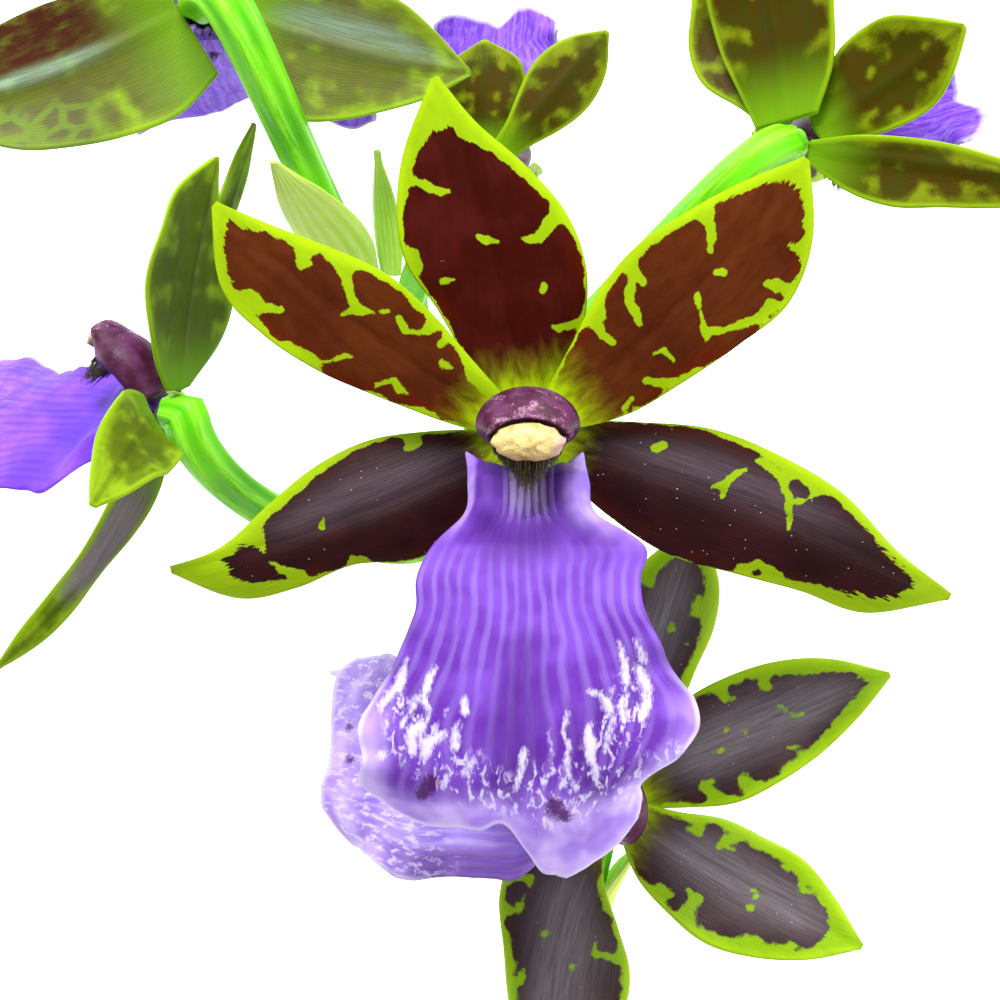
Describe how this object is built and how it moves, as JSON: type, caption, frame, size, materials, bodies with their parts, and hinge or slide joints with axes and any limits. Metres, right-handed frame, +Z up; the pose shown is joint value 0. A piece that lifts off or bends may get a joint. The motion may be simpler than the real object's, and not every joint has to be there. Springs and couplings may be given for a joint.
{
  "type": "zygopetalum orchid",
  "caption": "Cut spray of zygopetalum orchid lying on its back: maroon and green petals, frilled violet lips, hooded columns and ribbed green stalks on one stem.",
  "frame": {"origin": "bottom centre of the bounding box, on the surface that the spray lies on", "axes": "+Z up from that surface towards the open front flower, +Y along the spray towards its top flowers, +X to the right of the spray seen from above"},
  "size_m": [0.1317, 0.168, 0.0638],
  "materials": {
    "petal": "matte, maroon blotches on bright yellow-green",
    "sepal": "satin, dark maroon blotches on bright yellow-green",
    "lip": "velvety violet with paler veins and frilled margin",
    "column": "satin maroon with pale spots",
    "anther_cap": "waxy cream",
    "stem": "satin, ribbed, bright green",
    "bract": "papery pale yellow-green"
  },
  "bodies": {
    "root": {"flower_stem": "stem", "front_dorsal_sepal": "sepal", "front_left_petal": "petal", "front_right_petal": "petal", "front_left_sepal": "sepal", "front_right_sepal": "sepal", "front_lip": "lip", "front_column": "column", "front_anther_cap": "anther_cap", "front_bract": "bract", "left_dorsal_sepal": "sepal", "left_left_petal": "petal", "left_right_petal": "petal", "left_left_sepal": "sepal", "left_right_sepal": "sepal", "left_lip": "lip", "left_column": "column", "left_anther_cap": "anther_cap", "left_bract": "bract", "lower_dorsal_sepal": "sepal", "lower_left_petal": "petal", "lower_right_petal": "petal", "lower_left_sepal": "sepal", "lower_right_sepal": "sepal", "lower_lip": "lip", "lower_column": "column", "lower_anther_cap": "anther_cap", "lower_bract": "bract", "upper_left_dorsal_sepal": "sepal", "upper_left_left_petal": "petal", "upper_left_right_petal": "petal", "upper_left_left_sepal": "sepal", "upper_left_right_sepal": "sepal", "upper_left_lip": "lip", "upper_left_column": "column", "upper_left_anther_cap": "anther_cap", "upper_left_bract": "bract", "upper_middle_dorsal_sepal": "sepal", "upper_middle_left_petal": "petal", "upper_middle_right_petal": "petal", "upper_middle_left_sepal": "sepal", "upper_middle_right_sepal": "sepal", "upper_middle_lip": "lip", "upper_middle_column": "column", "upper_middle_anther_cap": "anther_cap", "upper_middle_bract": "bract", "upper_right_dorsal_sepal": "sepal", "upper_right_left_petal": "petal", "upper_right_right_petal": "petal", "upper_right_left_sepal": "sepal", "upper_right_right_sepal": "sepal", "upper_right_lip": "lip", "upper_right_column": "column", "upper_right_anther_cap": "anther_cap", "upper_right_bract": "bract"}
  },
  "joints": []
}
